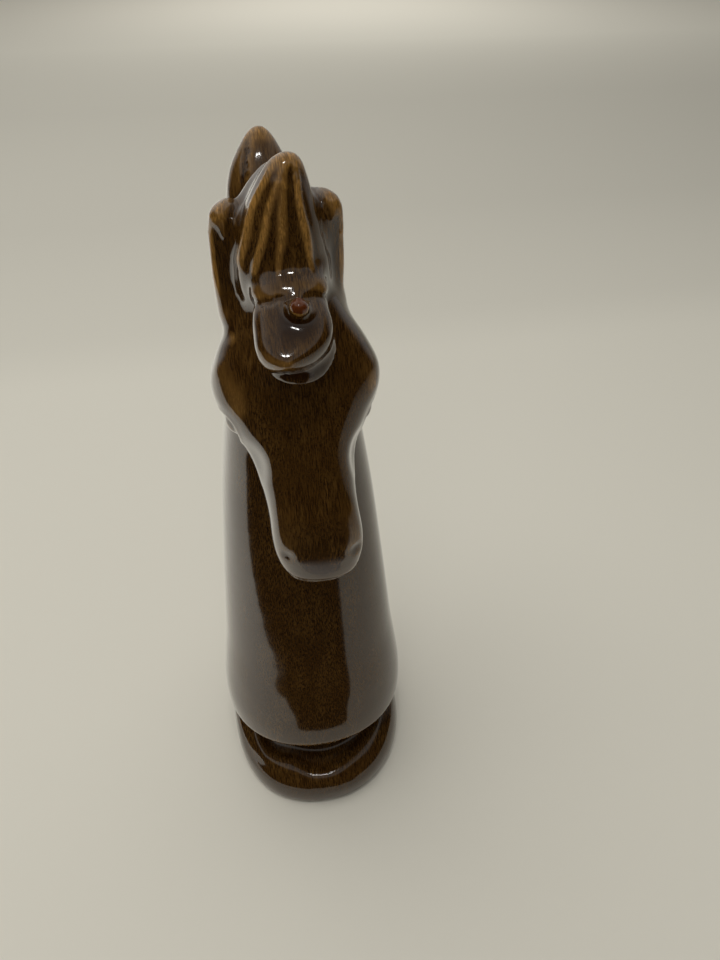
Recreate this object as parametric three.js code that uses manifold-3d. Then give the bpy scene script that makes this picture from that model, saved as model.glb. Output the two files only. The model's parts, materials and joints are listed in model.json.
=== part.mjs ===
// A glazed ceramic horse head on an oval foot, cast in one piece like a large chess knight.
// Millimetres. +Z is up, the horse looks along -Y, and the origin is the centre of the underside.
import * as THREE from "three";
import { mergeVertices } from "three/addons/utils/BufferGeometryUtils.js";
import Module from "manifold-3d";

// Driving sizes
const totalHeight = 243;
const footWidth = 73;
const footDepth = 105;
const footHeight = 15;
const hemHeight = 28;
const hemOverlap = 1.5;
const hemSetback = 11.5;
const stemInset = 8.5;
const stemSetback = 17.5;
const browWidth = 45;
const muzzleWidth = 27;
const faceSlant = 22;
const earHeight = 29;
const earSpacing = 26.8;
const earDepth = 15;
const earThickness = 7;
const earSplay = 18;
const knobWidth = 19.6;

// The figure was drawn 243 mm tall on a foot of 73 by 105; its free forms are lengths on that
// drawing and grow with the height, so a named size is divided by drawn where they use it.
// The neck follows the foot at its hem and the head at its top.
const drawn = totalHeight / 243;
const footWidened = footWidth / 73;
const footDeepened = footDepth / 105;
const glaze = { color: 0x2c1a0b, roughness: 0.16, metalness: 0 };
const radians = THREE.MathUtils.degToRad;

const wasm = await Module();
wasm.setup();

// A point of the figure: to the side, forward from the foot's centre, and up.
function at(x, forward, up) {
  return new THREE.Vector3(x, -forward, up).multiplyScalar(drawn);
}

// Values between stations, on smooth curves through them.
function smoothThrough(stations) {
  const positions = stations.map(([position]) => position);
  const values = stations.flatMap(([, ...rest]) => rest);
  const curve = new THREE.CubicInterpolant(positions, values, stations[0].length - 1);
  return (position) => [...curve.evaluate(position)];
}

// A closed skin over rings of equal point count, with a fan over each end.
function skin(rings) {
  const sides = rings[0].length;
  const centre = (ring) => ring.reduce((sum, p) => sum.add(p), new THREE.Vector3()).divideScalar(sides);
  const points = [...rings.flat(), centre(rings[0]), centre(rings.at(-1))];
  const first = points.length - 2;
  const last = points.length - 1;
  const top = (rings.length - 1) * sides;
  const faces = [];
  for (let i = 0; i < sides; i++) {
    const next = (i + 1) % sides;
    faces.push(first, next, i);
    for (let r = 0; r < rings.length - 1; r++) {
      const a = r * sides + i;
      const b = r * sides + next;
      faces.push(a, b, b + sides, a, b + sides, a + sides);
    }
    faces.push(last, top + i, top + next);
  }
  const geometry = new THREE.BufferGeometry().setFromPoints(points);
  return geometry.setIndex(faces);
}

// A geometry as a solid that can be joined and cut.
function solidOf(geometry) {
  const bare = new THREE.BufferGeometry();
  bare.setAttribute("position", geometry.getAttribute("position"));
  bare.setIndex(geometry.index);
  const merged = mergeVertices(bare, 1e-4);
  const vertProperties = new Float32Array(merged.getAttribute("position").array);
  const triVerts = new Uint32Array(merged.index.array);
  const made = new wasm.Manifold(new wasm.Mesh({ numProp: 3, vertProperties, triVerts }));
  if (made.volume() > 0) return made;
  for (let i = 0; i < triVerts.length; i += 3) {
    [triVerts[i + 1], triVerts[i + 2]] = [triVerts[i + 2], triVerts[i + 1]];
  }
  return new wasm.Manifold(new wasm.Mesh({ numProp: 3, vertProperties, triVerts }));
}

// One rounded section, as a point to the side and one along, with the angle 0 at the front.
// It has half its width to each side of its widest line and its own reach to the front and back.
// A power over 2 squares it up, and taper narrows its front.
function roundedPoint(angle, { half, front, back, power = 2.2, taper = 0 }) {
  const bend = (value) => Math.sign(value) * Math.abs(value) ** (2 / power);
  const along = bend(Math.cos(angle));
  const narrow = 1 - taper * Math.max(0, along);
  return [half * narrow * bend(Math.sin(angle)), along * (along > 0 ? front : back)];
}

// A solid of rounded sections along a path, turned about the vertical by splay degrees.
// ahead is the direction of a section's front, and relief pushes its surface along that.
function formAlong({ path, ahead, section, steps, sides, splay = 0, relief = () => 0 }) {
  const rings = [];
  const across = new THREE.Vector3(Math.cos(radians(splay)), Math.sin(radians(splay)), 0);
  for (let s = 0; s <= steps; s++) {
    const t = s / steps;
    const middle = path(t);
    const size = section(t);
    const front = ahead(t, across).normalize();
    rings.push(
      Array.from({ length: sides }, (_, i) => {
        const angle = (i / sides) * 2 * Math.PI;
        const [x, y] = roundedPoint(angle, size);
        const point = middle.clone().addScaledVector(across, x * drawn);
        return point.addScaledVector(front, (y + relief(angle, t)) * drawn);
      }),
    );
  }
  return solidOf(skin(rings));
}

// An ellipsoid. long is its radius along a line that leans down to the front by lean degrees.
function pebble(place, { toSide, long, across }, lean = 0) {
  const geometry = new THREE.SphereGeometry(1, 14, 10);
  geometry.scale(toSide * drawn, long * drawn, across * drawn);
  geometry.rotateX(radians(lean));
  geometry.translate(place.x, place.y, place.z);
  return solidOf(geometry);
}

// The foot, the hem above it and the neck, as one stack of level sections.
function footHemAndNeck() {
  const wide = 8 * footDeepened;
  const stack = [];
  const ring = (up, inset, setback, place = wide) => {
    const half = footWidth / 2 - inset;
    const reach = footDepth / 2 - setback;
    const rounding = { power: 2.1 };
    stack.push({ up, place, half, front: reach - place, back: reach + place, ...rounding });
  };
  const foot = (up, inset, setback) => ring(up, inset * footWidened, setback * footDeepened);
  const stem = (up, inset, setback) =>
    ring(up, stemInset - inset * footWidened, stemSetback - setback * footDeepened);
  const hem = (up, inset, setback) =>
    ring(up, hemOverlap + inset * footWidened, hemSetback + setback * footDeepened);
  foot(0, 2.2, 2.2);
  foot(footHeight * 0.12, 0.6, 0.6);
  foot(footHeight * 0.4, 0, 0);
  foot(footHeight * 0.72, 0.9, 1.2);
  foot(footHeight * 0.96, 3, 4.5);
  foot(footHeight, 5, 7.5);
  stem(footHeight * 1.067, 1.5, 4.5);
  stem(footHeight * 1.2, 0, 0);
  stem(hemHeight * 0.84, 0.5, 0.8);
  hem(hemHeight * 0.965, 2, 2.2);
  hem(hemHeight, 0.4, 0.4);

  // Share of the height above the hem, half width, front, back and place of the widest line.
  const neckAt = smoothThrough([
    [0.01, 35, 33.2, 49, 8],
    [0.045, 36.6, 35.5, 51, 8],
    [0.1, 35.3, 34, 50.5, 7.5],
    [0.25, 31.3, 28, 46.5, 4],
    [0.46, 26.6, 24.5, 39, -2],
    [0.56, 23.6, 24, 34.5, -5],
    [0.65, 20.6, 24, 30, -8],
    [0.72, 18.6, 22.5, 26, -10],
    [0.81, 15.6, 19, 19, -12.5],
    [0.86, 12, 14, 13, -13],
    [0.89, 6, 7, 7, -13],
  ]);
  const neckRings = 14;
  for (let i = 0; i <= neckRings; i++) {
    const share = THREE.MathUtils.lerp(0.01, 0.89, i / neckRings);
    const [half, front, back, place] = neckAt(share);
    const wider = THREE.MathUtils.lerp(footWidened, drawn, share);
    const deeper = THREE.MathUtils.lerp(footDeepened, drawn, share);
    const up = hemHeight + share * (totalHeight - hemHeight);
    const along = { front: front * deeper, back: back * deeper, place: place * deeper };
    stack.push({ up, half: half * wider, ...along, power: 2.15 });
  }
  const sides = 38;
  const rings = stack.map((size) =>
    Array.from({ length: sides }, (_, i) => {
      const [x, y] = roundedPoint((i / sides) * 2 * Math.PI, size);
      return new THREE.Vector3(x, -(y + size.place), size.up);
    }),
  );
  return solidOf(skin(rings));
}

// The line of the face runs down and forward from the poll. A point on it is given by its
// place to the side, its distance down the face and its distance out from the face.
const downFace = new THREE.Vector2(Math.sin(radians(faceSlant)), -Math.cos(radians(faceSlant)));
const outOfFace = new THREE.Vector2(-downFace.y, downFace.x);
function onFace(x, down, out) {
  const turn = 0.05 * Math.max(0, down - 45);
  const poll = new THREE.Vector2(22.6, 215);
  const p = poll.addScaledVector(downFace, down).addScaledVector(outOfFace, out);
  return at(x + turn, p.x, p.y);
}

// The head in sections square to the face: distance down the face, the face line's own setback,
// depth of the widest line behind it, reach from there to the jaw, half width and front taper.
function head() {
  const brow = browWidth / 2 / drawn;
  const lips = muzzleWidth / 2 / drawn;
  const sectionAt = smoothThrough([
    [-13, 9, 14, 14, brow * 0.42, 0],
    [0, 4, 15, 24, brow * 0.58, 0],
    [8, 2, 14.5, 28, brow * 0.69, 0.04],
    [18, 0.4, 14, 31.5, brow * 0.93, 0.06],
    [25, 0, 13, 31, brow * 1.04, 0.07],
    [31, 0, 13, 28.5, brow * 1.02, 0.1],
    [38, 0.1, 13, 23.5, brow * 0.89, 0.18],
    [46, 0.3, 13, 18, brow * 0.74, 0.22],
    [58, 0.5, 11.5, 13, lips * 1.02, 0.16],
    [67, 0, 10.4, 11.5, lips * 0.98, 0.06],
    [71.5, 0.7, 10, 10.8, lips, 0.04],
    [75.5, 2.2, 9.2, 10, lips, 0.04],
    [79.5, 4.3, 7.9, 8.6, lips * 0.97, 0.04],
    [83.6, 6.9, 6.3, 6.9, lips * 0.9, 0.04],
    [87.2, 9.3, 4.5, 5.1, lips * 0.77, 0.02],
    [90, 11.6, 2.6, 3, lips * 0.54, 0],
    [91.2, 13.2, 1.2, 1.4, lips * 0.26, 0],
  ]);
  const place = (t) => THREE.MathUtils.lerp(-13, 91.2, t);
  return formAlong({
    path: (t) => {
      const [setback, depth] = sectionAt(place(t));
      return onFace(0, place(t), -setback - depth);
    },
    ahead: () => at(0, outOfFace.x, outOfFace.y),
    section: (t) => {
      const [, front, back, half, taper] = sectionAt(place(t));
      return { half, front, back, taper, power: 3.1 };
    },
    steps: 25,
    sides: 25,
  });
}

// A lock of mane: a flame that grows from its root and bends to its tip, with flutes on its front.
function lock({ root, bend, tip, half, front, back, flutes = 0, depth = 0, ...grid }) {
  const curve = new THREE.QuadraticBezierCurve3(at(...root), at(...bend), at(...tip));
  const swell = smoothThrough([
    [0, 0.94, 0.94],
    [0.25, 1, 1],
    [0.5, 0.88, 0.92],
    [0.75, 0.62, 0.7],
    [0.92, 0.34, 0.42],
    [0.98, 0.18, 0.22],
    [1, 0.07, 0.09],
  ]);
  return formAlong({
    path: (t) => curve.getPoint(t),
    ahead: (t, across) => new THREE.Vector3().crossVectors(curve.getTangent(t), across).negate(),
    section: (t) => {
      const [wide, deep] = swell(t);
      return { half: half * wide, front: front * deep, back: back * deep };
    },
    steps: 10,
    sides: 14,
    relief: (angle, t) => {
      const facing = Math.max(0, Math.cos(angle));
      return -depth * facing * (1 - t) * (0.5 + 0.5 * Math.cos(flutes * angle * 2));
    },
    ...grid,
  });
}

// An ear is a blade that stands fore and aft, splayed at its front, with a hollow in its front.
function ear(side) {
  const half = earThickness / 2 / drawn;
  const tall = earHeight / drawn;
  const deep = earDepth / drawn;
  const top = 231;
  const x = side * (earSpacing / 2 / drawn) - 1.7;
  const curve = new THREE.LineCurve3(at(x + side * 1.1, 6.5, top - tall), at(x, 9.5, top));
  const swell = smoothThrough([
    [0, 0.9, 0.84],
    [0.3, 1, 0.95],
    [0.6, 1, 1],
    [0.82, 0.96, 0.96],
    [0.92, 0.82, 0.86],
    [0.97, 0.6, 0.66],
    [1, 0.25, 0.25],
  ]);
  const blade = formAlong({
    path: (t) => curve.getPoint(t),
    ahead: (t, across) => new THREE.Vector3(across.y, -across.x, 0),
    section: (t) => {
      const [wide, along] = swell(t);
      return { half: half * wide, front: deep * 0.4 * along, back: deep * 0.6 * along };
    },
    steps: 12,
    sides: 20,
    splay: side * earSplay,
  });
  const reach = deep * 0.4;
  const turn = radians(earSplay);
  const aside = x + side * reach * Math.sin(turn);
  const middle = at(aside, 8.9 + reach * Math.cos(turn), top - tall * 0.36);
  const hollow = pebble(middle, { toSide: half * 0.55, long: half * 0.75, across: tall * 0.3 });
  return blade.subtract(hollow);
}

const tuft = {
  root: [0.2, 14, 203],
  bend: [-3.4, 16, 226],
  tip: [2, 12.6, 243],
  half: 12.2,
  front: 10,
  back: 15,
  flutes: 5,
  depth: 1.8,
  steps: 15,
  sides: 30,
};
const maneLocks = [
  { root: [-1, 0, 203], bend: [-3.4, -2, 224], tip: [1, 8, 239], half: 13.2, front: 9, back: 9 },
  { root: [-2.2, -10, 194], bend: [-4.6, -8, 221], tip: [-2, -22, 240.4], half: 11, front: 9, back: 13 },
  { root: [0, -22, 182], bend: [2, -39, 192], tip: [3.5, -45, 219], half: 11, front: 12, back: 9 },
  { root: [0, -28, 160], bend: [-2, -45, 170], tip: [-3.5, -50, 197], half: 11, front: 12, back: 9 },
  { root: [0, -31, 138], bend: [2, -49, 148], tip: [3.5, -53, 174], half: 10.5, front: 12, back: 9 },
  { root: [0, -34, 116], bend: [-2, -51, 126], tip: [-3.5, -55, 151], half: 10, front: 12, back: 8 },
  { root: [0, -36, 95], bend: [2, -50, 104], tip: [2.5, -56, 128], half: 9, front: 11, back: 7 },
];

// The crest that the locks grow from, down the back of the neck.
function crest() {
  const line = [[-12, 212], [-26, 204], [-35, 186], [-40, 160], [-43, 132], [-44, 104], [-38, 80]];
  const curve = new THREE.CatmullRomCurve3(line.map(([forward, up]) => at(0, forward, up)));
  const swell = smoothThrough([
    [0, 10],
    [0.2, 10],
    [0.7, 8.5],
    [0.93, 5],
    [1, 1.5],
  ]);
  return formAlong({
    path: (t) => curve.getPoint(t),
    ahead: (t, across) => new THREE.Vector3().crossVectors(curve.getTangent(t), across),
    section: (t) => {
      const [half] = swell(t);
      return { half, front: half * 1.2, back: half * 0.85 };
    },
    steps: 14,
    sides: 13,
  });
}

const forms = [
  footHemAndNeck(),
  head(),
  lock(tuft),
  crest(),
  ...maneLocks.map(lock),
  ear(-1),
  ear(1),
  pebble(at(-1, -5, 203), { toSide: 13.5, long: 22, across: 17 }),
  pebble(at(-0.5, 24.4, 213.2), { toSide: 10.4, long: 7.4, across: 4.9 }, 18),
  pebble(at(-1.1, 34, 206.2), { toSide: knobWidth / 2 / drawn, long: 11.6, across: 5.8 }, 28),
  pebble(at(-0.4, 31.2, 201.7), { toSide: knobWidth / 2 / drawn + 0.6, long: 11.6, across: 4.4 }, 34),
  pebble(at(0.8, 34.2, 213), { toSide: 2.3, long: 2.7, across: 2.3 }, 35),
];
for (const side of [-1, 1]) {
  const brow = browWidth / 2 / drawn;
  forms.push(pebble(onFace(side * (brow - 7.4), 26, -11.8), { toSide: 8, long: 10, across: 9 }, 68));
  forms.push(pebble(onFace(side * (brow - 4.2), 37.5, -14), { toSide: 2.9, long: 4, across: 3.4 }, 68));
  forms.push(pebble(onFace(side * 12, 37, -27), { toSide: 8, long: 13, across: 11 }, 68));
}
let whole = wasm.Manifold.union(forms);
for (const side of [-1, 1]) {
  const nostril = pebble(onFace(side * 10.8, 78.4, -4.2), { toSide: 1.8, long: 2.6, across: 1.8 }, 68);
  whole = whole.subtract(nostril);
}

const shape = whole.getMesh();
const geometry = new THREE.BufferGeometry();
geometry.setAttribute("position", new THREE.BufferAttribute(shape.vertProperties, 3));
geometry.setIndex(new THREE.BufferAttribute(shape.triVerts, 1));
geometry.computeVertexNormals();

const horse = new THREE.Mesh(geometry, new THREE.MeshStandardMaterial(glaze));
horse.name = "horse_head";
const part = new THREE.Group();
part.add(horse);

export default part;
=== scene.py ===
"""Models a glazed ceramic horse head on its foot, with its glaze, and sets up the studio around it."""

import json
import math

import bpy
import numpy as np
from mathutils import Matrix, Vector

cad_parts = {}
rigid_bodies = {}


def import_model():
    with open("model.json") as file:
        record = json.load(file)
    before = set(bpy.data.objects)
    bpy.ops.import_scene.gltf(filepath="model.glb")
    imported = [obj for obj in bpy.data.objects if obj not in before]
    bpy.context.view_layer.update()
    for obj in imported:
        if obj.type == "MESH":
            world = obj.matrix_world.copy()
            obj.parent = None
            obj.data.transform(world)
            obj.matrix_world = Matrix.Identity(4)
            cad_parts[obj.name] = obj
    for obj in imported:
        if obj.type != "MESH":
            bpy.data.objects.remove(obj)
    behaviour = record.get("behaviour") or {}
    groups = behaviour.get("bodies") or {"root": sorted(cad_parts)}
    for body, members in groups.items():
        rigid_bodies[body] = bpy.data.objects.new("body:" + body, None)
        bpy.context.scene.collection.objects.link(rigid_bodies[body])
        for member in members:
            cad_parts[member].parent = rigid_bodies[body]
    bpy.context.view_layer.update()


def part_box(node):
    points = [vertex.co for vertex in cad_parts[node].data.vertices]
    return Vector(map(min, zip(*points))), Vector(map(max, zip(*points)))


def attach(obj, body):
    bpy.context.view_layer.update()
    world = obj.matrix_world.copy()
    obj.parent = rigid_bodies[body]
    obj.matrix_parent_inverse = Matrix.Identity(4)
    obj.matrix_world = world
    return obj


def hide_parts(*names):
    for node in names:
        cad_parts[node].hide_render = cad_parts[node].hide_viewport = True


bl_info = {
    "name": "Ceramic Horse Head",
    "version": (1, 0, 0),
    "blender": (4, 5, 0),
    "location": "View3D > Sidebar > Horse",
    "description": "Models a glazed ceramic horse head from its sizes and glaze colours",
    "category": "Add Mesh",
}

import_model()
LOW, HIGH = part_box("horse_head")
MM = 0.001
# The names of the forms that wait to be joined into one casting.
CLAY = []
# The place of the top of the face, in mm, and how many degrees the face leans from upright.
FACE_FORWARD, FACE_UP = 22.6, 215
FACE_LEAN = 22
FACE_SLANT = math.radians(FACE_LEAN)
DOWN_FACE = (math.sin(FACE_SLANT), -math.cos(FACE_SLANT))
OUT_OF_FACE = (math.cos(FACE_SLANT), math.sin(FACE_SLANT))
# The foot is widest a little forward of its centre. There: its half width and its reach forward, in mm.
FOOT_WIDEST, FOOT_HALF, FOOT_REACH = 8, 36.5, 44.5
# The raised line on the foot: angles from its front, and how far out it lies, as a share of the foot.
FOOT_LINE = [
    (-180, 0.86), (-120, 0.88), (-90, 0.83), (-68, 0.81), (-58, 0.86), (-47, 0.905), (-39, 0.89),
    (-28, 0.845), (-20, 0.875), (-11, 0.905), (-2, 0.905), (9, 0.885), (20, 0.855), (30, 0.835),
    (44, 0.825), (59, 0.825), (90, 0.85), (130, 0.88), (180, 0.86)]
# Along a lock, from root to tip: its width and its depth, as shares.
SLIM = [
    [0, 0.94, 0.94], [0.25, 1, 1], [0.5, 0.87, 0.92], [0.65, 0.73, 0.8], [0.78, 0.57, 0.67],
    [0.89, 0.42, 0.5], [0.955, 0.3, 0.35], [0.985, 0.19, 0.21], [1, 0.07, 0.08]]
LEAF = [
    [0, 0.94, 0.94], [0.25, 1, 1], [0.5, 0.98, 0.94], [0.65, 0.93, 0.84], [0.78, 0.78, 0.7],
    [0.89, 0.52, 0.5], [0.955, 0.33, 0.35], [0.985, 0.2, 0.21], [1, 0.07, 0.08]]
# Each lock: root, bend and tip as places in mm, then half width, depth to the front and to the back.
FORELOCK = ((0.2, 14, 203), (-3.4, 16, 226), (2, 12.6, 243), 12.4, 10, 15)
BACK_LOBE = ((-1, 0, 203), (-3.4, -2, 224), (1, 8, 239), 13.4, 9, 9)
MANE = [
    ((-2.2, -10, 194), (-4.6, -8, 221), (-2.2, -22, 240.5), 10.5, 9, 13),
    ((0, -22, 182), (2, -39, 192), (3.5, -45, 219), 11, 12, 9),
    ((0, -28, 160), (-2, -45, 170), (-3.5, -50, 197), 11, 12, 9),
    ((0, -31, 138), (2, -49, 148), (3.5, -53, 174), 10.5, 12, 9),
    ((0, -34, 116), (-2, -51, 126), (-3.5, -55, 151), 10, 12, 8),
    ((0, -36, 95), (2, -50, 104), (2.5, -56, 128), 9, 11, 7),
]
# How fine the flecks in the glaze are, as a scale of noise. Each is about half a millimetre wide.
FLECK_FINENESS = 3000
# The camera's focal length as a share of the picture's long side.
FOCAL_LENGTH = 721 / 960


class HorseSizes(bpy.types.PropertyGroup):
    height: bpy.props.FloatProperty(
        name="Height", description="Height to the tip of the forelock", default=0.243, unit="LENGTH")
    foot_width: bpy.props.FloatProperty(
        name="Foot width", description="Width of the oval foot", default=0.073, unit="LENGTH")
    foot_depth: bpy.props.FloatProperty(
        name="Foot depth", description="Depth of the oval foot", default=0.105, unit="LENGTH")
    foot_height: bpy.props.FloatProperty(
        name="Foot height", description="Height of the foot's rim", default=0.015, unit="LENGTH")
    hem_height: bpy.props.FloatProperty(
        name="Hem height", description="Height of the flared neck's lower edge", default=0.028,
        unit="LENGTH")
    brow_width: bpy.props.FloatProperty(
        name="Brow width", description="Width of the head at the brows", default=0.045, unit="LENGTH")
    muzzle_width: bpy.props.FloatProperty(
        name="Muzzle width", description="Width of the muzzle", default=0.027, unit="LENGTH")
    curl_width: bpy.props.FloatProperty(
        name="Curl width", description="Width of the curl on the forehead", default=0.0196, unit="LENGTH")
    ear_height: bpy.props.FloatProperty(
        name="Ear height", description="Height of an ear", default=0.029, unit="LENGTH")
    grain: bpy.props.FloatProperty(
        name="Surface grain", description="Width of the finished casting's faces", default=0.000955,
        unit="LENGTH")


class GlazeColours(bpy.types.PropertyGroup):
    umber: bpy.props.FloatVectorProperty(
        name="Umber", description="Colour of the thick glaze", subtype="COLOR",
        default=(0.072, 0.034, 0.0074))
    dark: bpy.props.FloatVectorProperty(
        name="Dark fleck", description="Colour of the dark flecks", subtype="COLOR",
        default=(0.015, 0.0046, 0.0005))
    amber: bpy.props.FloatVectorProperty(
        name="Amber", description="Colour where the glaze runs thin", subtype="COLOR",
        default=(0.33, 0.17, 0.042))
    rust: bpy.props.FloatVectorProperty(
        name="Rust", description="Colour of the red tip on the curl", subtype="COLOR",
        default=(0.09, 0.0225, 0.005))


def at(x, forward, up):
    """A point of the figure in metres: to the side, forward from the foot's centre, and up, in mm."""
    return Vector((x, -forward, up)) * MM


def smooth_through(stations):
    """Values between stations on a smooth curve that passes through each."""
    places = np.array([row[0] for row in stations], float)
    values = np.array([row[1:] for row in stations], float)
    slopes = np.gradient(values, places, axis=0, edge_order=1)

    def value(place):
        place = min(max(place, places[0]), places[-1])
        i = min(int(np.searchsorted(places, place, side="right")) - 1, len(places) - 2)
        span = places[i + 1] - places[i]
        t = (place - places[i]) / span
        return ((2 * t**3 - 3 * t**2 + 1) * values[i] + (t**3 - 2 * t**2 + t) * span * slopes[i]
                + (3 * t**2 - 2 * t**3) * values[i + 1] + (t**3 - t**2) * span * slopes[i + 1])

    return value


def section_point(angle, half, front, back, power=2.2, taper=0.0, left=1.0):
    """A point of a rounded section, to the side and along, with the angle 0 at its front.

    A higher power is squarer, and left is how square the left side is of that. Taper narrows the front.
    """
    if math.sin(angle) < 0:
        power *= left

    def bend(v):
        return math.copysign(abs(v) ** (2 / power), v)

    along = bend(math.cos(angle))
    narrow = 1 - taper * max(0.0, along)
    return half * narrow * bend(math.sin(angle)), along * (front if along > 0 else back)


def pick_nothing():
    if bpy.context.mode != "OBJECT":
        bpy.ops.object.mode_set(mode="OBJECT")
    bpy.ops.object.select_all(action="DESELECT")


def draw_out(name, rings):
    """A form that starts as a disc on its first ring and is extruded from ring to ring."""
    pick_nothing()
    sides = len(rings[0])
    bpy.ops.mesh.primitive_circle_add(vertices=sides, radius=0.01, fill_type="NGON", location=(0, 0, 0))
    form = bpy.context.object
    form.name = name
    for vertex, point in zip(form.data.vertices, rings[0]):
        vertex.co = point
    bpy.ops.object.mode_set(mode="EDIT")
    bpy.ops.mesh.select_all(action="SELECT")
    for before, ring in zip(rings, rings[1:]):
        bpy.ops.mesh.extrude_region_move(TRANSFORM_OT_translate={"value": (0, 0, 0)})
        bpy.ops.object.mode_set(mode="OBJECT")
        keys = {tuple(round(c, 7) for c in point): i for i, point in enumerate(before)}
        for vertex in form.data.vertices:
            if vertex.select:
                key = tuple(round(c, 7) for c in vertex.co)
                vertex.co = ring[keys[key]] if key in keys else ring[
                    min(range(sides), key=lambda i: (before[i] - vertex.co).length)]
        bpy.ops.object.mode_set(mode="EDIT")
    bpy.ops.mesh.select_all(action="SELECT")
    bpy.ops.mesh.normals_make_consistent(inside=False)
    bpy.ops.object.mode_set(mode="OBJECT")
    CLAY.append(form.name)
    return form


def pebble(name, place, to_side, long, across, lean=0.0, clay=True):
    """A rounded lump, whose long radius lies on a line that leans down to the front by lean degrees."""
    pick_nothing()
    bpy.ops.mesh.primitive_uv_sphere_add(segments=40, ring_count=24, radius=MM)
    lump = bpy.context.object
    lump.name = name
    bpy.ops.object.mode_set(mode="EDIT")
    bpy.ops.mesh.select_all(action="SELECT")
    bpy.ops.transform.resize(value=(to_side, long, across))
    bpy.ops.object.mode_set(mode="OBJECT")
    lump.rotation_euler = (math.radians(lean), 0, 0)
    lump.location = place
    bpy.ops.object.transform_apply(location=True, rotation=True, scale=True)
    if clay:
        CLAY.append(lump.name)
    return lump


def cut_away(form, tool):
    """Takes one form out of another and clears the tool away."""
    pick_nothing()
    bpy.context.view_layer.objects.active = form
    form.select_set(True)
    cut = form.modifiers.new("Cut", "BOOLEAN")
    cut.operation = "DIFFERENCE"
    cut.solver = "EXACT"
    cut.object = tool
    bpy.ops.object.modifier_apply(modifier=cut.name)
    bpy.data.objects.remove(tool, do_unlink=True)


def form_along(name, path, ahead, section, steps, sides, splay=0.0):
    """A form of rounded sections along a path, turned about the vertical by splay degrees."""
    across = Vector((math.cos(math.radians(splay)), math.sin(math.radians(splay)), 0))
    rings = []
    for s in range(steps + 1):
        t = s / steps
        middle, size, front = path(t), section(t), ahead(t, across).normalized()
        ring = []
        for i in range(sides):
            x, y = section_point(i / sides * 2 * math.pi, **size)
            ring.append(middle + across * (x * MM) + front * (y * MM))
        rings.append(ring)
    return draw_out(name, rings)


def bend_through(root, bend, tip):
    """A curved line from root to tip and its direction, by share of the way."""
    a, b, c = at(*root), at(*bend), at(*tip)

    def point(t):
        return a * (1 - t) ** 2 + b * (2 * t * (1 - t)) + c * t**2

    def along(t):
        return ((b - a) * (1 - t) + (c - b) * t).normalized()

    return point, along


def on_face(x, down, out):
    """A point by its place to the side, its distance down the face and out from it, in mm."""
    forward = FACE_FORWARD + DOWN_FACE[0] * down + OUT_OF_FACE[0] * out
    up = FACE_UP + DOWN_FACE[1] * down + OUT_OF_FACE[1] * out
    # The muzzle drifts a little to the right, as in the photo.
    return at(x + 0.05 * max(0.0, down - 45), forward, up)


class HORSE_OT_foot_and_neck(bpy.types.Operator):
    """Draws the oval foot, the flared hem and the neck up as one stack of level rings"""
    bl_idname = "horse.foot_and_neck"
    bl_label = "Foot and neck"

    def execute(self, context):
        sizes = context.scene.horse_sizes
        width, depth = sizes.foot_width / MM, sizes.foot_depth / MM
        rim, hem, top = sizes.foot_height / MM, sizes.hem_height / MM, sizes.height / MM
        stack = []

        def level(up, inset, setback):
            half, reach = width / 2 - inset, depth / 2 - setback
            size = dict(half=half, front=reach - FOOT_WIDEST, back=reach + FOOT_WIDEST, power=2.1)
            stack.append((up, FOOT_WIDEST, size))

        # Levels of the foot and its stem: height, and how far in from the foot's side and from its ends.
        drawn_rim = 15
        for up, inset, setback in (
                (0, 1.4, 1.4), (0.35, 0.75, 0.75), (1.0, 0.45, 0.45), (2.2, 0.2, 0.2), (4, 0.05, 0),
                (6.5, 0, 0.1), (9, 0.35, 0.5), (11, 0.9, 1.3), (12.6, 1.7, 2.6), (13.8, 2.8, 4.2),
                (14.6, 4.2, 6.2), (15.0, 5.6, 8.2), (15.2, 6.6, 10.6), (15.6, 7.6, 13.2), (16.6, 8.4, 15.6),
                (18, 8.8, 17.2), (20, 8.9, 17.6), (22, 8.7, 17.4)):
            level(up * rim / drawn_rim, inset, setback)
        # The underside of the hem, below its edge.
        for below, inset, setback in (
                (4.3, 8.0, 16.7), (2.8, 6.2, 15.4), (1.6, 4.0, 13.4), (0.7, 2.5, 12.2), (0.1, 1.8, 11.7)):
            level(hem - below, inset, setback)
        # Up the neck: share of its height, half width, depth to the front and back, and how far forward
        # it is widest.
        neck_at = smooth_through([
            [0.002, 36.1, 35.0, 50.0, 8],
            [0.006, 36.4, 35.4, 50.5, 8],
            [0.016, 36.5, 35.3, 50.8, 8],
            [0.04, 36.5, 34.7, 50.9, 8],
            [0.07, 36.0, 33.7, 50.7, 7.8],
            [0.1, 35.1, 32.7, 50.2, 7.5],
            [0.17, 33.0, 30.0, 48.9, 6],
            [0.25, 31.3, 28, 46.5, 4],
            [0.36, 28.9, 26, 42.8, 1],
            [0.46, 26.6, 24.5, 39, -2],
            [0.56, 23.6, 24, 34.5, -5],
            [0.65, 20.6, 24, 30, -8],
            [0.72, 18.6, 22.5, 26, -10],
            [0.81, 15.6, 19, 19, -12.5],
            [0.86, 12, 14, 13, -13],
            [0.89, 6, 7, 7, -13],
        ])
        first, last, steps = 0.002, 0.89, 64
        for i in range(steps + 1):
            share = first + (last - first) * (i / steps) ** 1.35
            half, front, back, place = neck_at(share)
            size = dict(half=half, front=front, back=back, power=2.15)
            stack.append((hem + share * (top - hem), place, size))
        rings, sides = [], 96
        for up, place, size in stack:
            ring = []
            for i in range(sides):
                x, y = section_point(i / sides * 2 * math.pi, **size)
                ring.append(at(x, y + place, up))
            rings.append(ring)
        draw_out("foot_and_neck", rings)
        return {"FINISHED"}


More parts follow.
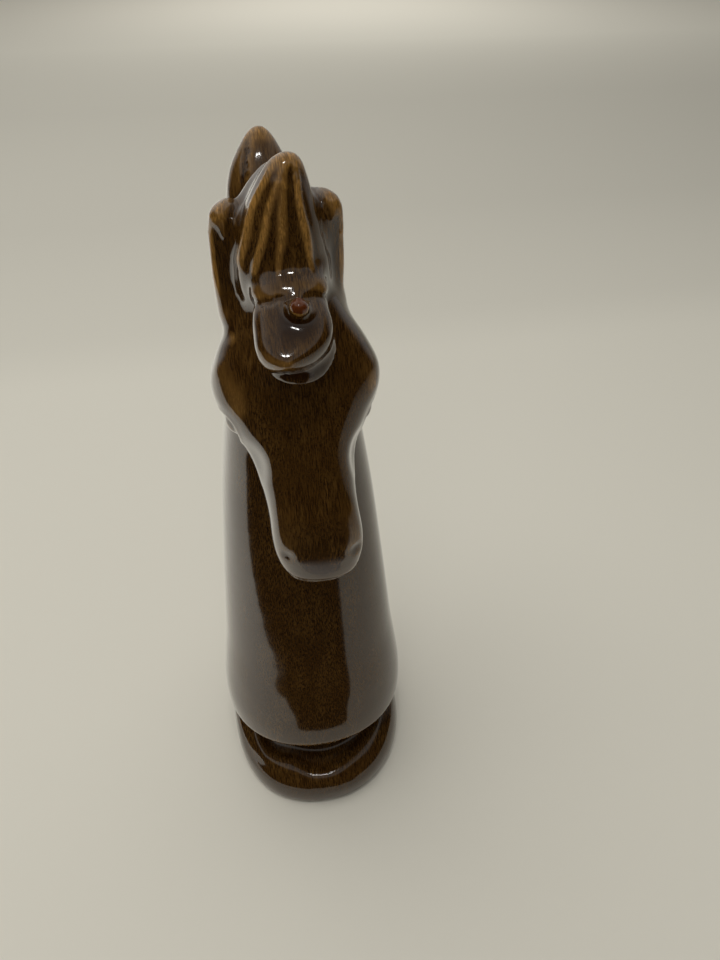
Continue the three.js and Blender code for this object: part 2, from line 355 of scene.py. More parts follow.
class HORSE_OT_head(bpy.types.Operator):
    """Draws the head down from the poll to the lips, with its brows, eyes, cheeks and chin"""
    bl_idname = "horse.head"
    bl_label = "Head"

    def execute(self, context):
        sizes = context.scene.horse_sizes
        brow, lips = sizes.brow_width / MM / 2, sizes.muzzle_width / MM / 2
        # Down the face: set back, depth to the front and back, half width, narrowing, squareness.
        section_at = smooth_through([
            [-13, 9, 14, 14, brow * 0.42, 0, 2.6],
            [0, 4, 15, 24, brow * 0.58, 0, 2.6],
            [8, 2, 14.5, 28, brow * 0.69, 0.04, 2.8],
            [18, 0.4, 14, 31.5, brow * 0.94, 0.06, 3],
            [25, 0, 13, 31, brow * 1.06, 0.07, 3.4],
            [31, 0, 13, 28.5, brow * 1.04, 0.1, 3.6],
            [38, 0.1, 13, 23.5, brow * 0.9, 0.18, 3.8],
            [46, 0.3, 13, 18, brow * 0.74, 0.22, 4],
            [58, 0.5, 11.5, 13, lips * 1.02, 0.16, 4.5],
            [67, 0, 10.4, 11.5, lips * 0.98, 0.06, 4.4],
            [71.5, 0.7, 10.0, 10.8, lips, 0.04, 4.4],
            [75.5, 2.2, 9.2, 10.0, lips, 0.04, 4.2],
            [79.5, 4.3, 7.9, 8.6, lips * 0.97, 0.04, 3.8],
            [83.6, 6.9, 6.3, 6.9, lips * 0.9, 0.04, 3.4],
            [87.2, 9.3, 4.5, 5.1, lips * 0.78, 0.02, 3.0],
            [90.0, 11.4, 2.8, 3.2, lips * 0.58, 0, 2.6],
            [91.6, 13.2, 1.2, 1.4, lips * 0.28, 0, 2.4],
        ])
        top, end = -13, 91.6

        def path(t):
            down = top + (end - top) * t
            setback, deep = section_at(down)[:2]
            return on_face(0, down, -setback - deep)

        def section(t):
            _, deep, back, half, taper, power = section_at(top + (end - top) * t)
            return dict(half=half, front=deep, back=back, taper=taper, power=power, left=0.72)

        form_along("head", path, lambda t, across: at(0, *OUT_OF_FACE), section, 110, 72)
        lean = 90 - FACE_LEAN
        for side in (-1, 1):
            pebble("brow", on_face(side * (brow - 7.4), 26, -11.8), 8.2, 10, 9.0, lean)
            pebble("eyeball", on_face(side * (brow - 4.2), 37.5, -14), 2.9, 4.0, 3.4, lean)
            pebble("cheek", on_face(side * 12, 37, -27), 8, 13, 11, lean)
        pebble("chin", on_face(0, 79, -16.5), lips * 0.68, 5.5, 4.2, lean)
        pebble("poll", at(-1, -5, 203), 13.5, 22, 17)
        return {"FINISHED"}


class HORSE_OT_ears(bpy.types.Operator):
    """Stands a blade fore and aft for each ear, splays its front and hollows it"""
    bl_idname = "horse.ears"
    bl_label = "Ears"

    def execute(self, context):
        tall = context.scene.horse_sizes.ear_height / MM
        half, deep, splay, top = 3.5, 15.0, 20.0, 231.0
        turn = math.radians(splay)
        # How much of the ear's depth lies in front of its line.
        before = deep * 0.4
        swell = smooth_through([
            [0, 0.9, 0.84], [0.25, 1, 0.95], [0.6, 1, 1], [0.82, 0.97, 0.98], [0.91, 0.86, 0.9],
            [0.965, 0.66, 0.74], [0.99, 0.42, 0.5], [1, 0.2, 0.24]])
        for side in (-1, 1):
            # The right ear stands nearer to the middle and taller than the left one.
            x = side * 13.4 - (1.5 if side < 0 else 2.1)
            peak = top if side < 0 else top + 1.4
            low = at(x + side * 1.1, 6.5, top - tall)
            high = at(x + (side > 0) * 0.5, 9.5, peak)

            def section(t):
                wide, along = swell(t)
                return dict(half=half * wide, front=before * along, back=(deep - before) * along)

            ear = form_along(
                "ear", lambda t: low.lerp(high, t), lambda t, across: Vector((across.y, -across.x, 0)),
                section, 40, 40, splay * side)
            aside = x + side * (before * math.sin(turn) + 0.5)
            place = at(aside, 8.4 + before * math.cos(turn), top - tall * 0.5)
            cut_away(ear, pebble("hollow", place, half * 0.68, half * 0.7, tall * 0.4, clay=False))
            pebble("ear_root", at(side * 13.6 - 1.4, 9.5, 202), 4.4, 8.5, 6, 20)
        return {"FINISHED"}


def lock(name, root, bend, tip, half, front, back, steps=44, sides=48, swell=SLIM):
    """A lock of mane that grows from its root and bends to its tip."""
    point, along = bend_through(root, bend, tip)
    swell = smooth_through(swell)

    def section(t):
        wide, deep = swell(t)
        return dict(half=half * wide, front=front * deep, back=back * deep)

    return form_along(name, point, lambda t, across: -along(t).cross(across), section, steps, sides)


class HORSE_OT_forelock(bpy.types.Operator):
    """Raises the upright forelock, and lays its rolled base and its curl on the forehead"""
    bl_idname = "horse.forelock"
    bl_label = "Forelock"

    def execute(self, context):
        curl_half = context.scene.horse_sizes.curl_width / MM / 2
        lock("forelock", *FORELOCK, steps=60, sides=64)
        lock("forelock_back", *BACK_LOBE)
        pebble("roll", at(-0.5, 24.4, 213.2), 10.4, 7.4, 4.9, 18)
        pebble("curl_neck", at(-0.8, 28.2, 208.4), 9.8, 8.4, 6.4, 32)
        # The curl is a thick plate with a pointed end, which lies on the forehead.
        down, out = at(0, 0.883, -0.469), at(0, 0.469, 0.883)
        thickest = 5.4
        shield = smooth_through([
            [0, 0.55, 3.0], [0.1, 0.84, 4.6], [0.3, 1.0, thickest], [0.52, 1.02, thickest],
            [0.66, 0.97, 5.2], [0.78, 0.84, 4.6], [0.89, 0.58, 3.6], [0.96, 0.3, 2.2], [1, 0.08, 0.8]])

        def curl_line(t):
            # The top stays flat where the end thins, and the end leans to the left.
            thinned = shield(t)[1] - thickest if t > 0.4 else 0.0
            aside = -1.2 + 0.3 * t - 3.2 * max(0.0, t - 0.45) ** 1.5 / 0.41
            return at(aside, 33.6, 206.2) + down * (23.2 * t - 11) - out * (0.85 * thinned + 0.4)

        def curl_section(t):
            wide, thick = shield(t)
            return dict(half=curl_half * wide, front=thick, back=thick, power=3.6)

        form_along("curl", curl_line, lambda t, across: out, curl_section, 40, 56)
        pebble("curl_rim", at(-0.4, 31.2, 201.7), curl_half + 0.8, 11.9, 4.2, 34)
        pebble("curl_tip", at(0.5, 35.0, 213.0), 2.7, 2.9, 2.9, 35)
        return {"FINISHED"}


class HORSE_OT_mane(bpy.types.Operator):
    """Lays the crest down the back of the neck and grows the pointed locks from it"""
    bl_idname = "horse.mane"
    bl_label = "Mane"

    def execute(self, context):
        for number, (root, bend, tip, half, front, back) in enumerate(MANE):
            lock(f"mane_lock_{number}", root, bend, tip, half, front, back, swell=SLIM if number else LEAF)
        line = smooth_through([
            [0, -12, 212], [0.13, -26, 204], [0.26, -35, 186], [0.45, -40, 160], [0.65, -43, 132],
            [0.84, -44, 104], [1, -38, 80]])
        swell = smooth_through([[0, 10], [0.2, 10], [0.7, 8.5], [0.93, 5], [1, 1.5]])

        def section(t):
            half = float(swell(t)[0])
            return dict(half=half, front=half * 1.2, back=half * 0.85)

        def ahead(t, across):
            along = at(0, *line(min(1, t + 0.02))) - at(0, *line(max(0, t - 0.02)))
            return along.cross(across)

        form_along("crest", lambda t: at(0, *line(t)), ahead, section, 50, 40)
        return {"FINISHED"}


def vectors(mesh, what):
    """All a mesh's vertex places or normals as one array, in mm or as they are."""
    out = np.empty(len(mesh.vertices) * 3)
    if what == "co":
        mesh.vertices.foreach_get("co", out)
        return out.reshape(-1, 3) / MM
    mesh.vertex_normals.foreach_get("vector", out)
    return out.reshape(-1, 3)


def edges_of(mesh):
    out = np.empty(len(mesh.edges) * 2, int)
    mesh.edges.foreach_get("vertices", out)
    return out.reshape(-1, 2)


def spread(values, edges, times):
    """Averages values with their neighbours' a number of times."""
    count = np.bincount(edges.ravel(), minlength=len(values))[:, None]
    flat = values.reshape(len(values), -1)
    for _ in range(times):
        total = np.zeros_like(flat)
        for axis in range(flat.shape[1]):
            total[:, axis] = (
                np.bincount(edges[:, 0], flat[edges[:, 1], axis], len(flat))
                + np.bincount(edges[:, 1], flat[edges[:, 0], axis], len(flat)))
        flat = 0.5 * flat + 0.5 * total / count
    return flat.reshape(values.shape)


def rise(value, start, end):
    """0 before start, 1 after end, and a smooth step between."""
    t = np.clip((value - start) / (end - start), 0, 1)
    return t * t * (3 - 2 * t)


def ridge(value, place, width):
    """A soft ridge across a line."""
    return np.exp(-((value - place) / width) ** 2)


def near(points, centre, radii):
    """1 at the centre of an oval patch, down to 0 at its edge."""
    apart = (points - np.array(centre)) / np.array(radii)
    return np.clip(1 - (apart**2).sum(1), 0, 1) ** 2


def face_point(x, down, out):
    return np.array(on_face(x, down, out)) / MM


class HORSE_OT_cast(bpy.types.Operator):
    """Joins all the forms into one casting with one skin, as slip in a mould"""
    bl_idname = "horse.cast"
    bl_label = "Casting"

    def execute(self, context):
        pick_nothing()
        for name in CLAY:
            bpy.data.objects[name].select_set(True)
        casting = bpy.data.objects[CLAY[0]]
        context.view_layer.objects.active = casting
        bpy.ops.object.join()
        casting.name = "glazed_casting"
        CLAY.clear()
        skin = casting.modifiers.new("Skin", "REMESH")
        skin.mode = "VOXEL"
        skin.voxel_size = context.scene.horse_sizes.grain
        skin.use_smooth_shade = True
        bpy.ops.object.modifier_apply(modifier=skin.name)
        return {"FINISHED"}


class Skin:
    """The casting's points in mm, how far each is pushed out, and how thin the glaze on it is, with painted
    shade.
    """

    def __init__(self, mesh):
        self.mesh = mesh
        self.edges = edges_of(mesh)
        self.points = vectors(mesh, "co")
        # The level underside stays where it is, whatever is smoothed.
        self.drawn = self.points.copy()
        self.under = self.drawn[:, 2] < 0.3

    def spread(self, times):
        return spread(self.points, self.edges, times)

    def stay_level(self):
        self.points[:, 2] = np.where(self.under, self.drawn[:, 2], self.points[:, 2])

    def settle(self):
        """Puts the points into the mesh and reads the normals again."""
        self.mesh.vertices.foreach_set("co", (self.points * MM).ravel())
        self.mesh.update()
        self.normals = vectors(self.mesh, "normal")

    def measure(self):
        """The measures that the carving goes by: to the side, forward, up, and how far it faces forward."""
        self.x, self.s, self.h = self.points[:, 0], -self.points[:, 1], self.points[:, 2]
        self.facing = -self.normals[:, 1]
        self.push = np.zeros(len(self.points))
        self.amber = np.zeros(len(self.points))
        self.red = np.zeros(len(self.points))

    def near(self, centre, radii):
        return near(self.points, centre, radii)


def fill_corners(skin):
    """Softens the casting and fills its inner corners, as thick glaze does."""
    skin.points = skin.spread(4)
    # The foot and the hem's edge stay sharper.
    keep = rise(-skin.drawn[:, 2], -33, -30)[:, None] * 0.7
    skin.points = skin.points * (1 - keep) + skin.drawn * keep
    skin.stay_level()
    for _ in range(2):
        skin.settle()
        sunk = np.clip(-((skin.points - skin.spread(16)) * skin.normals).sum(1), 0, None)
        # Only above the hem, and hardly under the curl, where the photo shows a sharp edge.
        soft = rise(skin.points[:, 2], 60, 90)
        from_curl = (skin.points - np.array((-1, -33, 201))) / np.array((14, 15, 13))
        soft *= rise(np.linalg.norm(from_curl, axis=1), 0.75, 1.1) * 0.9 + 0.1
        skin.points = skin.points + skin.normals * (sunk * soft * 0.9)[:, None]
        skin.points = skin.points * 0.5 + 0.5 * skin.spread(1)
        skin.stay_level()
    # The roots of the ears are smoothed further.
    for side in (-1, 1):
        calm = skin.near((side * 10.5 - 1.4, -12, 205), (9, 13, 14))
        calm = np.maximum(calm, skin.near((side * 10.6 - 0.6, -24, 212), (4.5, 6, 5)))
        calm = calm[:, None] ** 0.5
        skin.points = skin.points * (1 - calm) + skin.spread(16) * calm
    skin.settle()
    skin.measure()


def carve_forelock(skin):
    """Flutes on the front of the forelock, fanning out from its tip, and the fold above the curl."""
    x, s, h = skin.x, skin.s, skin.h
    point, _ = bend_through(*FORELOCK[:3])
    places = np.linspace(0, 1, 60)
    line = np.array([point(t) for t in places]) / MM
    wide = np.array([smooth_through(SLIM)(t)[0] for t in places]) * FORELOCK[3]
    across = (x - np.interp(h, line[:, 2], line[:, 0]))
    across /= np.maximum(np.interp(h, line[:, 2], wide), 2.2)
    front = rise(skin.facing, 0.1, 0.5) * rise(h, 216, 220) * rise(-h, -242.5, -239) * rise(s, 14, 17)
    up = np.clip((h - 214) / 28, 0, 1)
    sway = 0.03 * np.sin(h * 0.42 + 1)
    flutes = np.zeros(len(x))
    # Each flute: its place across at the foot and the tip, its strength there, and its width.
    for low, high, low_push, high_push, wide in (
            (-0.93, -0.84, 1.0, 0.8, 0.075),
            (-0.66, -0.3, 1.0, 0.25, 0.07),
            (-0.14, -0.02, 0.7, 0.0, 0.065),
            (0.24, 0.16, 0.3, 0.1, 0.06),
            (0.6, 0.5, 0.6, 1.0, 0.07)):
        strong = low_push + (high_push - low_push) * up
        flutes += strong * ridge(across, low + (high - low) * up + sway, wide)
    skin.push += front * (1.2 * flutes - 0.45)
    skin.push -= front * 1.3 * ridge(across, 0.27, 0.12) * rise(h, 219, 229)
    skin.amber += front * (1.3 * np.clip(flutes, 0, 1.0) ** 1.4 + 0.06)
    # The wavy line where the roll of hair meets the curl.
    fold = (h - 213.3) - 0.4766 * (s - 30) + 0.45 * np.sin(x * 0.75 + 0.8) + 0.25 * np.sin(x * 1.9)
    on = rise(-np.abs(x + 0.8), -11.5, -9) * rise(s, 23, 26) * rise(-s, -38, -35)
    on *= rise(skin.facing, -0.3, 0.1)
    skin.push -= on * 0.6 * ridge(fold, 0, 0.8)
    skin.amber += on * 0.4 * ridge(fold, 0.9, 0.6) * rise(-np.abs(x + 4), -7, -3)
    skin.amber -= 0.95 * skin.near((-1, -35, 207.5), (15, 16, 9))
    skin.amber += 0.3 * skin.near((-6.2, -37, 209.5), (1.6, 6, 5))
    # The small red tip of the curl, and a red tinge on the tips of the first lock and the forelock.
    tip = skin.near((0.5, -36.2, 214.6), (3.2, 3.6, 3.4))
    skin.push += 0.7 * tip
    skin.red += 1.8 * rise(tip, 0.12, 0.5)
    skin.red += 0.5 * skin.near((-1.9, 22, 241), (9, 9, 9))
    skin.red += 0.3 * skin.near((2, -12.6, 242), (7, 8, 7))


def carve_mane(skin):
    """Grooves that follow each lock of the mane."""
    for number, (root, bend, tip, half, _, _) in enumerate(MANE):
        point, _ = bend_through(root, bend, tip)
        line = np.array([point(t) for t in np.linspace(0.1, 1, 24)]) / MM
        apart = np.linalg.norm(skin.points[:, None, 1:] - line[None, :, 1:], axis=2)
        nearest = apart.argmin(1)
        way = 0.1 + 0.9 * nearest / 23
        side_on = (skin.x - line[nearest, 0]) / (half * (1.02 - 0.75 * way**2))
        on = rise(-apart.min(1), -14.5, -12.5) * (np.abs(side_on) < 1.1) * rise(way, 0.2, 0.4)
        on *= rise(-way, -0.97, -0.86) * (skin.s < 4)
        if not number:
            skin.push -= on * 0.7 * ridge(side_on, -0.66, 0.08)
            skin.amber += on * 0.5 * ridge(side_on, -0.54, 0.06)
            continue
        on *= rise(-skin.s, 22, 30)
        for place in (-0.62, -0.2, 0.24, 0.66):
            skin.push -= on * 0.55 * ridge(side_on, place, 0.09)
            skin.amber += on * 0.22 * ridge(side_on, place + 0.1, 0.06)


def carve_face(skin):
    """Eyes with their lids, nostrils, hollows of the cheeks and the mouth, where the face is amber, and a
    painted shadow under the curl.
    """
    x, s, h, facing = skin.x, skin.s, skin.h, skin.facing
    for side in (-1, 1):
        aim = (skin.points - face_point(side * 17.6, 37.5, -14)) / np.array([1.0, 0.86, 1.14])
        reach = np.linalg.norm(aim, axis=1)
        outer = rise(side * x, 14.5, 17) * rise(-facing, -0.75, -0.55)
        skin.push -= outer * 0.5 * ridge(reach, 4.6, 0.65)
        skin.push += outer * 0.28 * ridge(reach, 6.0, 0.8)
        nostril = skin.near(face_point(side * 11.0, 78.6, -3.6), (3.4, 3.8, 3.8))
        skin.push -= 1.2 * nostril * rise(side * x, 4, 7)
        skin.amber += 0.35 * skin.near(face_point(side * 9.6, 77, -1.5), (3, 3, 3))
        hollow = skin.near(face_point(side * 14.5, 49, -8), (6, 9, 9))
        skin.push -= 1.2 * hollow * rise(side * x, 6, 10)
        # The hollow of an ear is dark, and its rim is amber.
        skin.amber -= 0.75 * skin.near((side * 14.6 - 1.8, -15.5, 216.5), (3.4, 6, 10))
        rim = skin.near((side * 16.6 - 1.8, -13, 217), (3.2, 9, 18))
        skin.amber += 1.3 * rim * rise(side * x + 1.8 * side, 15.6, 17.4) * rise(facing, -0.4, 0.1)
    # Painted shadow: the face under the curl's rim is marked dark.
    skin.amber -= 1.6 * skin.near((0.5, -36.5, 196), (15, 9, 6.5))
    skin.amber += 0.45 * skin.near((-16.8, -20.5, 199.5), (2.4, 4, 3.4))
    skin.amber += 0.3 * skin.near(face_point(-17.8, 30, -2), (5, 7, 11))
    skin.amber += 0.5 * skin.near(face_point(20.8, 29, -3), (3, 4, 5))
    down = (FACE_FORWARD - s) * -DOWN_FACE[0] + (h - FACE_UP) * DOWN_FACE[1]
    out = (s - FACE_FORWARD) * OUT_OF_FACE[0] + (h - FACE_UP) * OUT_OF_FACE[1]
    mouth = rise(down, 69, 73) * ridge(out, -14.8 + (down - 70) * 0.12, 0.75)
    skin.push -= 0.7 * mouth * (down < 95) * rise(h, 120, 126)


def carve_foot(skin):
    """The foot's top: an uneven raised line, a scoop inside it, a lump at the front left and pits, and
    painted shade under the hem.
    """
    x, h = skin.x, skin.h
    aside, along = x / FOOT_HALF, (skin.s - FOOT_WIDEST) / FOOT_REACH
    turn = np.degrees(np.arctan2(aside, along))
    reach = np.hypot(aside, along)
    line = np.interp(turn, *zip(*FOOT_LINE))
    upper = rise(h, 9, 12.5) * rise(-h, -21, -18)
    skin.push += upper * 0.7 * ridge(reach, line, 0.055)
    skin.push -= upper * 1.3 * rise(-reach, -(line - 0.01), -(line - 0.12)) * rise(reach, 0.6, 0.68)
    skin.push += rise(-h, -13, -9) * 1.1 * ridge(turn, -40, 22) * rise(reach, 0.9, 0.97)
    skin.push -= rise(-h, -13, -9) * 0.6 * ridge(turn, -84, 14) * rise(reach, 0.9, 0.96)
    skin.push += rise(h, 2, 9) * rise(-h, -14, -11) * 0.35 * np.sin(np.radians(3 * turn + 40))
    # Painted shade: the band from 13 mm up to the hem's edge is marked darker, as the shade in the recess
    # under the hem.
    skin.amber -= 0.8 * rise(h, 13.2, 15) * rise(-h, -27.5, -25)
    pits = skin.near((-12.5, -44.5, 11), (5, 3.5, 4.5))
    skin.push -= 0.8 * pits * (0.5 + 0.5 * np.sin(x * 2.6) * np.sin(h * 2.4 + 1))


def press(skin):
    """Moves the points by the carving, and keeps them on the table and inside the solid's box."""
    skin.points = skin.points + skin.normals * skin.push[:, None]
    skin.points = skin.points * 0.4 + 0.6 * skin.spread(1)
    skin.points[:, 2] = np.where(skin.under, 0.0, np.maximum(skin.points[:, 2], 0.0))
    skin.points = np.clip(skin.points, np.array(LOW) / MM, np.array(HIGH) / MM)
    skin.settle()


def mark_thin_glaze_and_painted_shade(skin):
    """Writes where the glaze runs thin: on ridges and tips, by how far a point stands out around it,
    together with the painted shade marked in the carving.
    """
    fine = ((skin.points - skin.spread(4)) * skin.normals).sum(1)
    broad = ((skin.points - skin.spread(24)) * skin.normals).sum(1)
    thin = np.clip(fine / 0.3, -1, 1) * 0.75 + np.clip(broad / 1.3, -1, 1) * 0.25
    thin = spread(thin + skin.amber, skin.edges, 2)
    # The foot is darker.
    thin *= np.where(skin.points[:, 2] < 26, 0.45, 1.0)
    # Up to 1 the value turns the glaze amber, and beyond that red.
    value = np.clip(thin * 0.5 + 0.5, 0, 1) + 0.6 * np.clip(skin.red, 0, 1)
    layer = skin.mesh.attributes.new("glaze_thin_and_painted_shade", "FLOAT", "POINT")
    layer.data.foreach_set("value", value.astype(np.float32))


class HORSE_OT_carve(bpy.types.Operator):
    """Fills the casting's corners as glaze does, carves its fine forms and marks where the glaze is thin
    and where shade is painted
    """
    bl_idname = "horse.carve"
    bl_label = "Carving"

    def execute(self, context):
        casting = bpy.data.objects["glazed_casting"]
        skin = Skin(casting.data)
        fill_corners(skin)
        carve_forelock(skin)
        carve_mane(skin)
        carve_face(skin)
        carve_foot(skin)
        press(skin)
        mark_thin_glaze_and_painted_shade(skin)
        pick_nothing()
        casting.select_set(True)
        context.view_layer.objects.active = casting
        bpy.ops.object.shade_smooth()
        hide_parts("horse_head")
        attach(casting, "root")
        return {"FINISHED"}


def calculator(tree):
    """A function that adds a Math node to a node tree and gives its result."""

    def work(operation, *values):
        node = tree.nodes.new("ShaderNodeMath")
        node.operation = operation
        for socket, value in zip(node.inputs, values):
            if isinstance(value, bpy.types.NodeSocket):
                tree.links.new(value, socket)
            else:
                socket.default_value = value
        return node.outputs[0]

    return work


def step_between(tree, value, low, high, top=1.0):
    """A node that rises smoothly from 0 at low to top at high."""
    node = tree.nodes.new("ShaderNodeMapRange")
    node.interpolation_type = "SMOOTHSTEP"
    node.inputs["From Min"].default_value = low
    node.inputs["From Max"].default_value = high
    node.inputs["To Max"].default_value = top
    tree.links.new(value, node.inputs["Value"])
    return node.outputs["Result"]


def fleck_group():
    """Fine hair-like flecks that run down the surface, and broad drifts, both as masks."""
    group = bpy.data.node_groups.new("Glaze flecks", "ShaderNodeTree")
    sockets = group.interface
    sockets.new_socket("Fineness", in_out="INPUT", socket_type="NodeSocketFloat")
    sockets.new_socket("Fleck", in_out="OUTPUT", socket_type="NodeSocketFloat")
    sockets.new_socket("Drift", in_out="OUTPUT", socket_type="NodeSocketFloat")
    nodes, links = group.nodes, group.links
    given, out = nodes.new("NodeGroupInput"), nodes.new("NodeGroupOutput")
    where = nodes.new("ShaderNodeTexCoord")
    # Where the surface faces up the flecks run forward over it, and elsewhere straight down.
    level = nodes.new("ShaderNodeSeparateXYZ")
    links.new(where.outputs["Normal"], level.inputs["Vector"])
    masks = []
    for stretch in ((1, 1, 0.08), (1, 0.12, 0.12)):
        run = nodes.new("ShaderNodeMapping")
        run.inputs["Scale"].default_value = stretch
        links.new(where.outputs["Object"], run.inputs["Vector"])
        fleck = nodes.new("ShaderNodeTexNoise")
        fleck.inputs["Detail"].default_value = 4
        fleck.inputs["Roughness"].default_value = 0.65
        links.new(run.outputs["Vector"], fleck.inputs["Vector"])
        links.new(given.outputs["Fineness"], fleck.inputs["Scale"])
        masks.append(fleck.outputs["Fac"])
    either = nodes.new("ShaderNodeMix")
    links.new(step_between(group, level.outputs["Z"], 0.15, 0.5), either.inputs["Factor"])
    links.new(masks[0], either.inputs["A"])
    links.new(masks[1], either.inputs["B"])
    slow = nodes.new("ShaderNodeMapping")
    slow.inputs["Scale"].default_value = (1, 0.6, 0.3)
    links.new(where.outputs["Object"], slow.inputs["Vector"])
    drift = nodes.new("ShaderNodeTexNoise")
    drift.inputs["Scale"].default_value = 150
    drift.inputs["Detail"].default_value = 3
    links.new(slow.outputs["Vector"], drift.inputs["Vector"])
    links.new(either.outputs["Result"], out.inputs["Fleck"])
    links.new(drift.outputs["Fac"], out.inputs["Drift"])
    return group


class HORSE_OT_glaze(bpy.types.Operator):
    """Coats the casting in glossy brown glaze with flecks, thin amber edges, painted shade and a clear top
    """
    bl_idname = "horse.glaze"
    bl_label = "Glaze"

    def execute(self, context):
        colours = context.scene.glaze_colours
        material = bpy.data.materials.new("Brown glaze")
        material.use_nodes = True
        tree = material.node_tree
        nodes, links = tree.nodes, tree.links
        nodes.clear()
        out = nodes.new("ShaderNodeOutputMaterial")
        shader = nodes.new("ShaderNodeBsdfPrincipled")
        links.new(shader.outputs[0], out.inputs["Surface"])
        flecks = nodes.new("ShaderNodeGroup")
        flecks.node_tree = fleck_group()
        flecks.inputs["Fineness"].default_value = FLECK_FINENESS
        work = calculator(tree)

        def blend(mask, first, second):
            node = nodes.new("ShaderNodeMix")
            node.data_type = "RGBA"
            links.new(mask, node.inputs["Factor"])
            for socket, value in ((node.inputs["A"], first), (node.inputs["B"], second)):
                if isinstance(value, bpy.types.NodeSocket):
                    links.new(value, socket)
                else:
                    socket.default_value = (*value, 1)
            return node.outputs["Result"]

        def ramp(value, low, high):
            return step_between(tree, value, low, high)

        attribute = nodes.new("ShaderNodeAttribute")
        attribute.attribute_name = "glaze_thin_and_painted_shade"
        thin, fleck, drift = attribute.outputs["Fac"], flecks.outputs["Fleck"], flecks.outputs["Drift"]
        # The thick glaze: dark and umber flecks, with warmer ones in drifts, and darker where it pools and
        # where shade is painted.
        body = blend(ramp(fleck, 0.28, 0.72), colours.dark, colours.umber)
        warm = blend(ramp(fleck, 0.42, 0.7), body, tuple(c * 0.34 for c in colours.amber))
        drifted = blend(work("MULTIPLY", ramp(drift, 0.42, 0.66), 0.85), body, warm)
        pooled_and_painted_shade = blend(ramp(work("SUBTRACT", 1.0, thin), 0.62, 0.95), drifted, colours.dark)
        # The thin glaze: an even glow, then amber with streaks, and red where it is marked so.
        edge = work("ADD", thin, work("MULTIPLY", work("SUBTRACT", fleck, 0.5), 0.7))
        glow = blend(work("MULTIPLY", ramp(thin, 0.54, 0.72), 0.35), pooled_and_painted_shade, colours.amber)
        streaked = blend(ramp(fleck, 0.34, 0.6), tuple(c * 0.3 for c in colours.amber), colours.amber)
        ambered = blend(ramp(edge, 0.68, 0.94), glow, streaked)
        rusted = blend(ramp(thin, 0.98, 1.25), ambered, colours.rust)
        links.new(rusted, shader.inputs["Base Color"])
        shader.inputs["Roughness"].default_value = 0.12
        shader.inputs["IOR"].default_value = 1.5
        shader.inputs["Coat Weight"].default_value = 0.4
        shader.inputs["Coat Roughness"].default_value = 0.02
        shader.inputs["Coat IOR"].default_value = 1.5
        # A faint ripple of the glaze, as it sets.
        where = nodes.new("ShaderNodeTexCoord")
        ripple = nodes.new("ShaderNodeTexNoise")
        ripple.inputs["Scale"].default_value = 90
        ripple.inputs["Detail"].default_value = 1
        links.new(where.outputs["Object"], ripple.inputs["Vector"])
        bump = nodes.new("ShaderNodeBump")
        bump.inputs["Strength"].default_value = 0.25
        bump.inputs["Distance"].default_value = 0.6 * MM
        links.new(ripple.outputs["Fac"], bump.inputs["Height"])
        links.new(bump.outputs["Normal"], shader.inputs["Normal"])
        casting = bpy.data.objects["glazed_casting"]
        casting.data.materials.clear()
        casting.data.materials.append(material)
        return {"FINISHED"}


def paper_with_painted_light():
    """The floor's paper, with painted light: brighter far off, and at the left a painted glow that shows
    only in the glaze's reflections.
    """
    paper = bpy.data.materials.new("Paper with painted light")
    paper.use_nodes = True
    tree = paper.node_tree
    nodes, links = tree.nodes, tree.links
    shader = nodes["Principled BSDF"]
    shader.inputs["Roughness"].default_value = 0.7
    shader.inputs["Specular IOR Level"].default_value = 0.0
    where, apart = nodes.new("ShaderNodeTexCoord"), nodes.new("ShaderNodeSeparateXYZ")
    links.new(where.outputs["Object"], apart.inputs["Vector"])
    # Painted light and shade: the paper is painted brighter far off, with a darker band part way out, in
    # place of the light that falls on it.
    far = nodes.new("ShaderNodeMapRange")
    far.inputs["From Min"].default_value = -0.4
    far.inputs["From Max"].default_value = 3.0
    links.new(apart.outputs["Y"], far.inputs["Value"])
    painted_light_ramp = nodes.new("ShaderNodeValToRGB")
    links.new(far.outputs["Result"], painted_light_ramp.inputs["Fac"])
    links.new(painted_light_ramp.outputs["Color"], shader.inputs["Base Color"])
    steps = painted_light_ramp.color_ramp.elements
    steps[0].position, steps[0].color = 0.0, (0.69, 0.665, 0.59, 1)
    steps[1].position, steps[1].color = 1.0, (0.95, 0.9, 0.79, 1)
    for place, level in (
            (0.12, 0.72), (0.205, 0.73), (0.225, 0.68), (0.3, 0.66), (0.45, 0.74), (0.62, 0.93)):
        steps.new(place).color = (level, level * 0.965, level * 0.855, 1)
    # Painted reflection: at the left the paper glows, but only in rays that the glaze reflects.
    mirrored = nodes.new("ShaderNodeLightPath").outputs["Is Glossy Ray"]
    painted_glow_leftward = step_between(tree, apart.outputs["X"], 0.02, -0.22, 0.62)
    glow = calculator(tree)("MULTIPLY", painted_glow_leftward, mirrored)
    shader.inputs["Emission Color"].default_value = (1, 0.98, 0.9, 1)
    links.new(glow, shader.inputs["Emission Strength"])
    return paper


